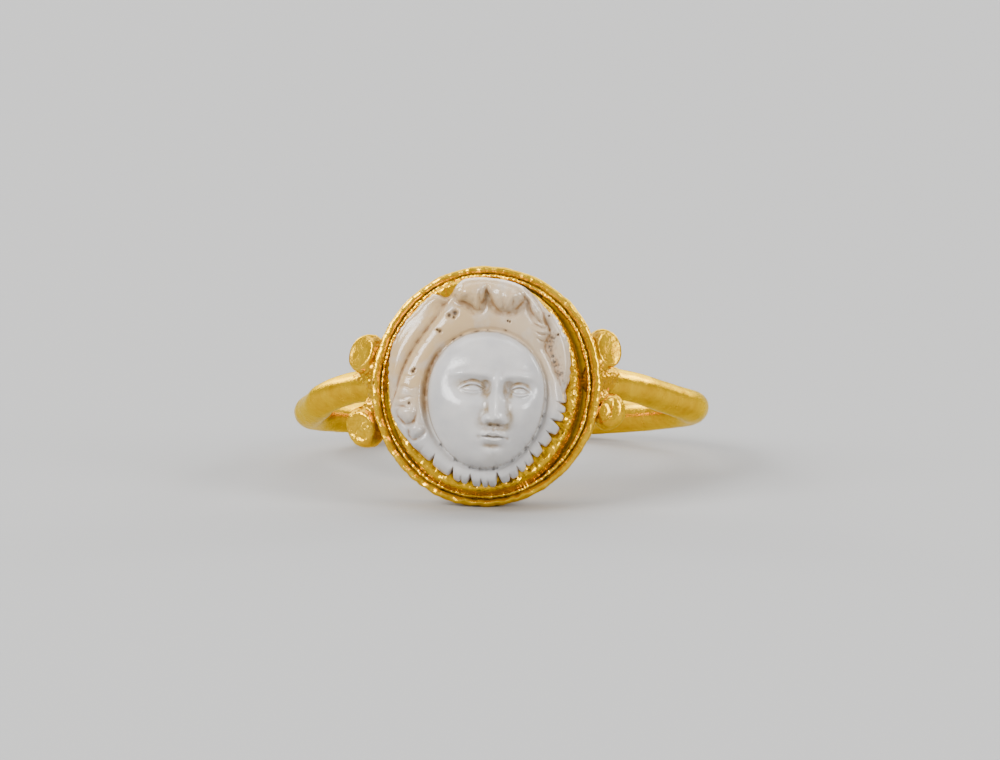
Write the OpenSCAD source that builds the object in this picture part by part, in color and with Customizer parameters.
// Gold finger ring with an oval collet bezel that holds a carved white cameo of a veiled head.
// It lies as such a ring rests by itself: the bezel stands on its lower edge with the cameo facing
// the front (-Y), and the hoop runs back and rests its far side on the floor.
// The ring is built with its hoop level: x to the right, y to the back, z up, from the bezel's middle.

/* [Bezel] */
// Width of the rim beyond the collet's foot at the left and right
rim_side_w = 0.72; // [0.6:0.02:1]
// Width of the rim beyond the collet's foot at the top and bottom
rim_end_w = 0.45; // [0.4:0.02:1]
// Thickness of the outer rim wire
rim_wire_d = 0.5; // [0.4:0.02:0.7]
// Thickness of the thinner wire soldered round the collet's foot
inner_wire_d = 0.36; // [0.3:0.02:0.5]
// Depth of the box behind the rim wires
box_depth = 1.45; // [1:0.05:1.8]
// Thickness of the closed back plate
back_plate_t = 0.4; // [0.3:0.05:0.8]
// How much the box narrows from the rim to its back edge
box_taper = 0.42; // [0.3:0.02:0.8]

/* [Collet] */
// Height of the collet's lip in front of the rim's seat
collet_rise = 2.35; // [1.6:0.05:3]
// Thickness of the collet's wall
collet_wall = 0.3; // [0.2:0.02:0.4]
// How far the wall leans in from its foot to its lip
collet_lean = 0.15; // [0:0.01:0.2]

/* [Cameo] */
// Width of the stone inside the collet
stone_w = 7.75; // [6.5:0.05:10]
// Height of the stone inside the collet
stone_h = 8.85; // [7.5:0.05:11]
// Clearance between the stone and the gold round it
stone_gap = 0.1; // [0.06:0.02:0.2]
// How far the carved edge overhangs the stone's body all round
carved_overhang = 0.26; // [0.05:0.01:0.3]
// Height of the carved edge from its underside to the hair locks on it
carved_edge_t = 0.4; // [0.3:0.05:0.8]
// Height of the hood and hair above the carved edge
hood_rise = 0.75; // [0.4:0.05:1.2]
// Height of the hair over the brow above the hood
hair_rise = 0.75; // [0.3:0.05:1]
// Width of the slope from the veil up to the hood's edge
hood_edge_w = 0.26; // [0.16:0.02:0.5]
// Width of the face from temple to temple
face_w = 5.3; // [4.6:0.1:5.8]
// Height of the face from the hairline to the chin
face_h = 6.3; // [5.6:0.1:6.8]
// Height of the cheeks above the hood
face_rise = 1.0; // [0.6:0.05:1.4]
// How far the nose stands out from the cheeks
nose_rise = 0.55; // [0.3:0.05:0.8]
// Turn of the face to the right
face_turn = 12; // [0:1:20]
// Lean of the face's midline
face_lean = 3; // [-6:1:8]
// Number of hair locks that would go once round the edge
locks_round = 30; // [20:2:36]
// Depth of the cut between two locks
lock_cut = 0.24; // [0.1:0.02:0.4]

/* [Hoop] */
// Width of the hoop over its wire
hoop_w = 19.5; // [18.5:0.1:24]
// Distance from the rim's seat to the middle of the wire at the hoop's back
hoop_depth = 19.6; // [18:0.1:24]
// Thickness of the wire round the back of the hoop
wire_d = 1.56; // [1.2:0.02:2]
// Thickness of the wire where it meets the bezel
shoulder_wire_d = 1.36; // [1:0.02:1.8]
// Spread of the left shoulder as it leaves the bezel, from straight back
left_shoulder_angle = 38; // [30:1:45]
// Spread of the left side between the shoulder and the round back
left_side_angle = 13; // [6:1:24]
// Spread of the right shoulder as it leaves the bezel, from straight back
right_shoulder_angle = 36; // [30:1:45]
// Spread of the right side between the shoulder and the round back
right_side_angle = 21; // [6:1:24]
// Bend radius between shoulder and side, at the middle of the wire
shoulder_bend_r = 4.5; // [1.5:0.1:6]
// Roll of the hoop on the bezel, right side up
hoop_roll = 1.2; // [-3:0.1:3]
// How far the wire's ends sit above the bezel's middle
shoulder_lift = 0.44; // [0:0.02:0.6]
// How far the hoop's sides dip below the level of its back
side_dip = 0.16; // [0:0.02:0.3]

/* [Pellets] */
// Width of each gold pellet beside the shoulders
pellet_d = 1.75; // [1.3:0.05:2.2]
// Thickness of each pellet
pellet_t = 1.3; // [0.8:0.05:1.6]
// Depth of the dish worn into a pellet's face
pellet_dish = 0.08; // [0.03:0.01:0.15]
// How far a pellet's middle lies behind the rim's seat
pellet_back = 0.7; // [0.5:0.05:1.2]
// Thickness of the solder that joins a pellet to the box
solder_d = 0.9; // [0.6:0.05:1.2]

/* [Hidden] */
GOLD = "goldenrod";
STONE = "ivory";
$fn = 64;
rim_r = rim_wire_d / 2;
inner_r = inner_wire_d / 2;
wire_r = wire_d / 2;
shoulder_r = shoulder_wire_d / 2;
// Both wires lie on the front of the box, the seat, which is at y = 0, and sink a share of their
// radius into it. The thin wire stands on the rim wire's inner flank
wire_sink = 0.35;
rim_y = -rim_r * (1 - wire_sink);
inner_y = rim_y - inner_r;
inner_out = inner_r * (1 - wire_sink);

// Stone, the collet that stands round it, and the bezel's outline round the collet's foot
body_a = stone_w / 2;
body_b = stone_h / 2;
carved_a = body_a + carved_overhang;
carved_b = body_b + carved_overhang;
lip_a = body_a + stone_gap;
lip_b = body_b + stone_gap;
foot_a = lip_a + collet_wall + collet_lean;
foot_b = lip_b + collet_wall + collet_lean;
bezel_a = foot_a + rim_side_w;
bezel_b = foot_b + rim_end_w;
// The box's front edge reaches the middle of the rim wire
box_a = bezel_a - rim_r;
box_b = bezel_b - rim_r;
// How far the collet's foot reaches into the box
collet_root = box_depth / 4;
stone_back_y = box_depth - back_plate_t - stone_gap;
carved_under_z = collet_rise + stone_gap;
edge_z = carved_under_z + carved_edge_t;
hood_z = edge_z + hood_rise;

// Hoop: a round back, two straight sides and two straight shoulders with a bend between them
back_r = hoop_w / 2 - wire_r;
back_c = hoop_depth - back_r;
// The wire's end lies inside the box's wall
shoulder_in = 0.25;
shoulder_x = box_a - box_taper / 2 - shoulder_in;
shoulder_y = box_depth * 0.1;
// How much the solder widens the wire's radius at the bezel
solder_flare = 0.1;
wire_sides = 16;
shoulder_rings = 5;
bend_rings = 4;
back_rings = 15;

// Cameo mesh: angles round the outline and rings from the middle to the edge
lock_steps = 4;
turn_steps = locks_round * lock_steps;
ring_steps = 34;

function ease(a, b, x) = let (t = min(1, max(0, (x - a) / (b - a)))) t * t * (3 - 2 * t);
function hill(x, y, sx, sy) = exp(-x * x / (sx * sx) - y * y / (sy * sy));
function oval_r(a, b, t) = 1 / norm([cos(t) / a, sin(t) / b]);
// Distance of a point to the right of the line from p to q
function right_of(p, q, x, y) = ((x - p[0]) * (q[1] - p[1]) - (y - p[1]) * (q[0] - p[0])) / norm(q - p);
// Height of a cap with a steep edge over an oval of half sizes a and b
function cap(x, y, a, b, steep) = pow(max(0, 1 - x * x / (a * a) - y * y / (b * b)), steep);

// The locks of hair are cut only round the lower part of the edge, from left to right
LOCKS_FROM = 186;
LOCKS_TO = 338;
function is_lock_side(t) = t > LOCKS_FROM && t < LOCKS_TO;
function lock_depth(i, t) = is_lock_side(t) && i % lock_steps == 0 ? lock_cut : 0;
// How far a lock's cut reaches in from the edge, as shares of the way from the middle
CUT_ENDS = 0.84;
CUT_FULL = 0.93;
// Radius of the carved mesh at one angle, where share is 1 at its edge and 0 in the middle
function carved_r(i, t, share) =
    share * oval_r(carved_a, carved_b, t) - lock_depth(i, t) * ease(CUT_ENDS, CUT_FULL, share);

// Edges of the hood, as shares of the stone's half width and half height: on the left a straight
// slant from the brow to the cheek, on the right a steeper one, with the veil lying behind both
HOOD_LEFT = [[-0.36, 0.86], [-1, -0.16]];
HOOD_RIGHT = [[0.6, 0.72], [0.98, -0.14]];
function on_stone(p) = [p[0] * carved_a, p[1] * carved_b];
function inside_hood(x, y) =
    ease(0, hood_edge_w, -right_of(on_stone(HOOD_LEFT[0]), on_stone(HOOD_LEFT[1]), x, y))
    * ease(0, hood_edge_w, right_of(on_stone(HOOD_RIGHT[0]), on_stone(HOOD_RIGHT[1]), x, y));

// Face: its middle as shares of the stone, then the height of each feature above the middle as a
// share of half the face, in thirds from the hairline to the brow, the base of the nose and the chin
face_x = 0.07 * carved_a;
face_y = -0.18 * carved_b;
face_a = face_w / 2;
face_b = face_h / 2;
BROW = 0.3;
EYES = 0.14;
NOSE_BASE = -0.36;
MOUTH = -0.57;
CHIN = -0.86;
// Five eye widths go across the face, so each eye lies one width from the middle
eye_w = face_w / 5;
// Place across a face that looks straight ahead, for a place across the turned one
function face_side(x) = let (s = min(1, max(-1, x / face_a))) face_a * sin(asin(s) - face_turn);

// Rises are shares of the nose's, at s across and v up the face. The nose's bridge is lower and
// narrower than its base, and its half width is a share of an eye's width
BRIDGE_RISE = 0.3;
BRIDGE_W = 0.24;
NOSE_W = 0.46;
// How far below and above its ends the nose fades out, as shares of half the face
NOSE_UNDER = 0.07;
NOSE_TOP = 0.12;
function nose(s, v) =
    let (down = ease(BROW, NOSE_BASE, v), w = eye_w * (BRIDGE_W + (NOSE_W - BRIDGE_W) * down))
    (BRIDGE_RISE + (1 - BRIDGE_RISE) * down) * exp(-s * s / (w * w))
    * ease(NOSE_BASE - NOSE_UNDER, NOSE_BASE, v) * ease(BROW + NOSE_TOP, BROW - NOSE_TOP, v);
// Eyeballs, the hollows round them, upper lip, lower lip, the crease below it and the chin. Each row
// has its place across in eye widths, its place up the face as a share of half its height, half its
// width and half its height in eye widths, and its rise. Rows off the middle stand on both sides
ACROSS = 0;
UP = 1;
HALF_W = 2;
HALF_H = 3;
RISE = 4;
BUMPS = [
    [1, EYES, 0.36, 0.24, 0.26],
    [1, EYES, 0.72, 0.48, -0.48],
    [0, MOUTH + 0.06, 0.62, 0.2, 0.2],
    [0, MOUTH - 0.08, 0.5, 0.2, 0.24],
    [0, MOUTH - 0.18, 0.6, 0.18, -0.14],
    [0, CHIN, 0.5, 0.4, 0.25]
];
function bump(row, s, v) = row[RISE] * hill(
    abs(s) / eye_w - row[ACROSS], (v - row[UP]) * face_b / eye_w, row[HALF_W], row[HALF_H]);
function sum(list, i = 0) = i < len(list) ? list[i] + sum(list, i + 1) : 0;
function features(s, v) = nose(s, v) + sum([for (row = BUMPS) bump(row, s, v)]);

// The face is a steep dome whose edge starts a little below the hood. Its features fade in over the
// dome's lower half
FACE_STEEP = 0.4;
FACE_SINK = 0.1;
function face_height(x, y) =
    let (
        px = (x - face_x) * cos(face_lean) - (y - face_y) * sin(face_lean),
        py = (x - face_x) * sin(face_lean) + (y - face_y) * cos(face_lean),
        dome = cap(px, py, face_a, face_b, FACE_STEEP)
    )
    dome <= 0 ? 0 : hood_z - FACE_SINK + (face_rise + FACE_SINK) * dome
        + nose_rise * features(face_side(px), py / face_b) * ease(0, 0.5, dome);

// Hair over the brow: two swags that part at the top and droop to both sides. Their middle, the
// parting, how far they droop, and half their width and height are shares of the stone's half sizes
HAIR_Y = 0.72;
PART_X = 0.04;
HAIR_DROOP = 0.9;
HAIR_W = 0.77;
HAIR_H = 0.26;
// A groove and a lock in each swag: distance from the parting, half width, half height, and rise as
// a share of the hair's
STRANDS = [[0.16, 0.07, 0.13, -0.4], [0.34, 0.12, 0.12, 0.13]];
function hair(x, y) =
    let (s = abs(x / carved_a - PART_X), v = y / carved_b - HAIR_Y)
    hill(s, v + s * s * HAIR_DROOP, HAIR_W, HAIR_H)
    + sum([for (row = STRANDS) row[3] * hill(s - row[0], v, row[1], row[2])]);

// The veil swells toward the middle by a share of the carved edge's thickness. A lower number makes
// a steeper edge
VEIL_SWELL = 0.4;
VEIL_STEEP = 0.5;
HOOD_STEEP = 0.3;
// Height of the carving in front of the rim's seat
function relief(x, y) =
    let (
        edge = edge_z + carved_edge_t * VEIL_SWELL * cap(x, y, carved_a, carved_b, VEIL_STEEP),
        hood = inside_hood(x, y) * cap(x, y, carved_a, carved_b, HOOD_STEEP),
        mass = edge + (hood_rise + hair_rise * hair(x, y)) * hood
    )
    max(mass, face_height(x, y));

// The ring rests on the outer rim wire and on the hoop's back. Both circles touch the floor line,
// and the hoop's roll lowers one side of its back a little
rest_run = hoop_depth - rim_y;
rest_drop = bezel_b - rim_r;
// The rim wire is stretched upward with its oval
rim_low_r = rim_r * rest_drop / (bezel_a - rim_r);
level_lean = atan(rest_drop / rest_run);
roll_drop = back_r * (norm([sin(level_lean), cos(level_lean) * sin(hoop_roll)]) - sin(level_lean));
lean = level_lean - asin((wire_r + roll_drop - rim_low_r) / norm([rest_run, rest_drop]));
rest_z = rest_drop * cos(lean) + rim_y * sin(lean) + rim_low_r;
// The nose is the foremost point, and the row's middle lies halfway between it and the hoop's back
front = max([for (v = [-0.6 : 0.02 : 0], x = [-0.1 : 0.02 : 0.4])
    let (y = face_y + v * face_b)
    relief(face_x + x * face_a, y) * cos(lean) - y * sin(lean)]);
rest_y = (front - hoop_depth * cos(lean) - wire_r) / 2;

// Points of one ring of the mesh, for its radius as a share of the outline and its height
function ring_points(share, z) = [
    for (i = [0 : turn_steps - 1])
        let (t = i * 360 / turn_steps, r = carved_r(i, t, share))
        [r * cos(t), r * sin(t), z]
];
function body_points(z) = [
    for (i = [0 : turn_steps - 1])
        let (t = i * 360 / turn_steps, r = oval_r(body_a, body_b, t))
        [r * cos(t), r * sin(t), z]
];
function relief_points(share) = [
    for (i = [0 : turn_steps - 1])
        let (t = i * 360 / turn_steps, r = carved_r(i, t, share), x = r * cos(t), y = r * sin(t))
        [x, y, relief(x, y)]
];
function flatten(rows) = [for (row = rows) each row];
function turned_over(f) = [for (i = [len(f) - 1 : -1 : 0]) f[i]];
// Faces between ring j and the next one, of n points each
function band_faces(j, n) = [
    for (i = [0 : n - 1])
        let (a = j * n + i, b = j * n + (i + 1) % n)
        each [[a, b, b + n], [a, b + n, a + n]]
];

// Outer and inner rim wires, each an oval loop
module oval_wire(a, b, r, y) {
    translate([0, y, 0])
        rotate([90, 0, 0])
            scale([1, b / a, 1])
                rotate_extrude()
                    translate([a, 0])
                        circle(r = r);
}

// Oval block from its front y to its back y, with half its width at each and its height per width
module oval_block(front_y, back_y, front_a, back_a, tall) {
    rotate([90, 0, 0])
        scale([1, tall, 1])
            translate([0, 0, -back_y])
                cylinder(h = back_y - front_y, r1 = back_a, r2 = front_a);
}

// Box of sheet gold behind the rim, closed by the back plate, and the collet wall that rises from
// its front to a lip round the stone. One hollow for the stone runs through both
module bezel() {
    difference() {
        union() {
            oval_block(0, box_depth, box_a, box_a - box_taper, box_b / box_a);
            oval_block(-collet_rise, collet_root, foot_a - collet_lean, foot_a, foot_b / foot_a);
        }
        oval_block(-collet_rise - 1, box_depth - back_plate_t, lip_a, lip_a, lip_b / lip_a);
    }
}

// The wire's middle line on one side of the hoop, from the bezel to the back, for the spread of the
// shoulder and of the side: rows of x, y, the direction as an angle from straight back, and radius
function hoop_path(shoulder, side) =
    let (
        tangent = [back_r * cos(side), back_c - back_r * sin(side)],
        run = (tangent[0] - shoulder_x - (tangent[1] - shoulder_y) * tan(side))
            / (tan(shoulder) - tan(side)),
        corner = [shoulder_x + run * tan(shoulder), shoulder_y + run],
        trim = shoulder_bend_r * tan((shoulder - side) / 2),
        bend_start = corner - trim * [sin(shoulder), cos(shoulder)],
        centre = bend_start + shoulder_bend_r * [-cos(shoulder), sin(shoulder)]
    )
    concat(
        [for (k = [0 : shoulder_rings - 1])
            let (t = k / shoulder_rings)
            [each ([shoulder_x, shoulder_y] * (1 - t) + bend_start * t), shoulder,
                shoulder_r + solder_flare * ease(0.45, 0, t)]],
        [for (k = [0 : bend_rings])
            let (t = k / bend_rings, a = shoulder + (side - shoulder) * t)
            [each (centre + shoulder_bend_r * [cos(a), -sin(a)]), a,
                shoulder_r + (wire_r - shoulder_r) * t * 0.6]],
        [for (k = [0 : back_rings - 1])
            let (t = k / back_rings, a = side - (90 + side) * t)
            [back_r * cos(a), back_c - back_r * sin(a), a,
                shoulder_r + (wire_r - shoulder_r) * (0.75 + 0.25 * ease(0, 0.5, t))]]
    );

// The shoulders come down from their lifted ends to sides that dip a little, and the back is level
shoulders_down_y = back_c * 0.6;
function lift(y) = (shoulder_lift + side_dip) * ease(shoulders_down_y, 0, y)
    - side_dip * ease(hoop_depth, back_c, y);
// Round section of the wire at one row of the path
function wire_section(row, mirrored) = [
    for (i = [0 : wire_sides - 1])
        let (
            f = i * 360 / wire_sides,
            x = row[0] + row[3] * cos(f) * cos(row[2]),
            y = row[1] - row[3] * cos(f) * sin(row[2])
        )
        [mirrored ? -x : x, y, row[3] * sin(f) + lift(row[1])]
];

// The whole wire of the hoop, swept from its left end round the back to its right end
module hoop() {
    left = hoop_path(left_shoulder_angle, left_side_angle);
    right = hoop_path(right_shoulder_angle, right_side_angle);
    middle = [0, hoop_depth, -90, wire_r];
    rings = concat(
        [for (row = left) wire_section(row, true)],
        [wire_section(middle, false)],
        [for (k = [len(right) - 1 : -1 : 0]) wire_section(right[k], false)]
    );
    n = wire_sides;
    last = (len(rings) - 1) * n;
    faces = concat(
        flatten([for (j = [0 : len(rings) - 2]) band_faces(j, n)]),
        [[for (i = [n - 1 : -1 : 0]) i]],
        [[for (i = [0 : n - 1]) last + i]]
    );
    polyhedron(points = flatten(rings), faces = [for (f = faces) turned_over(f)]);
}

// Thick round pellet with a dished face, soldered beside a shoulder and against the box
module pellet() {
    edge = 0.22 * pellet_t;
    rotate_extrude()
        polygon([
            [0, -pellet_t / 2],
            [pellet_d / 2 - edge * 1.6, -pellet_t / 2],
            [pellet_d / 2 - edge * 0.3, -pellet_t / 2 + edge],
            [pellet_d / 2, 0],
            [pellet_d / 2 - edge * 0.3, pellet_t / 2 - edge],
            [pellet_d / 2 - edge * 1.6, pellet_t / 2],
            [0, pellet_t / 2 - pellet_dish]
        ]);
}

// Where the pellets sit: side (-1 left, 1 right), above or below the wire (1 or -1), the space between
// pellet and wire as a share of the widest pellet, and the pellet's size as a share of the widest
SIDE = 0;
LEVEL = 1;
SPACE = 2;
SIZE = 3;
PELLETS = [[-1, 1, 0, 0.94], [-1, -1, 0.17, 1], [1, 1, 0.22, 0.94], [1, -1, -0.29, 0.84]];
pellet_x = bezel_a + pellet_d * 0.16;
// Turn of a pellet's face outward from the front, and up or down from level
pellet_out = 52;
pellet_up = 28;
module pellets() {
    for (p = PELLETS) {
        z = p[LEVEL] * (shoulder_r + pellet_d * (0.5 + p[SPACE]));
        wall_x = box_a * sqrt(1 - pow(z / box_b, 2)) - box_taper;
        translate([p[SIDE] * pellet_x, pellet_back, z]) {
            rotate([0, -p[SIDE] * p[LEVEL] * pellet_up, 0])
                rotate([90, 0, 0])
                    rotate([0, p[SIDE] * pellet_out, 0])
                        scale(p[SIZE])
                            pellet();
            rotate([0, -p[SIDE] * 90, 0])
                cylinder(h = pellet_x - wall_x + solder_d / 3, r = solder_d / 2);
        }
    }
}

// The ring with its hoop level becomes the ring at rest on the floor
module at_rest() {
    translate([0, rest_y, rest_z])
        rotate([-lean, 0, 0])
            children();
}

module gold_mount() {
    color(GOLD)
        at_rest() {
            bezel();
            oval_wire(bezel_a - rim_r, bezel_b - rim_r, rim_r, rim_y);
            oval_wire(foot_a + inner_out, foot_b + inner_out, inner_r, inner_y);
            rotate([0, -hoop_roll, 0]) hoop();
            pellets();
        }
}

module cameo() {
    n = turn_steps;
    rings = [
        body_points(-stone_back_y),
        body_points(carved_under_z),
        ring_points(1, carved_under_z),
        for (k = [ring_steps : -1 : 1]) relief_points(k / ring_steps)
    ];
    last = len(rings) * n;
    points = concat(flatten(rings), [[0, 0, relief(0, 0)], [0, 0, -stone_back_y]]);
    faces = concat(
        flatten([for (j = [0 : len(rings) - 2]) band_faces(j, n)]),
        [for (i = [0 : n - 1]) [last - n + i, last - n + (i + 1) % n, last]],
        [for (i = [0 : n - 1]) [(i + 1) % n, i, last + 1]]
    );
    color(STONE)
        at_rest()
            rotate([90, 0, 0])
                polyhedron(points = points, faces = [for (f = faces) turned_over(f)]);
}

gold_mount();
cameo();
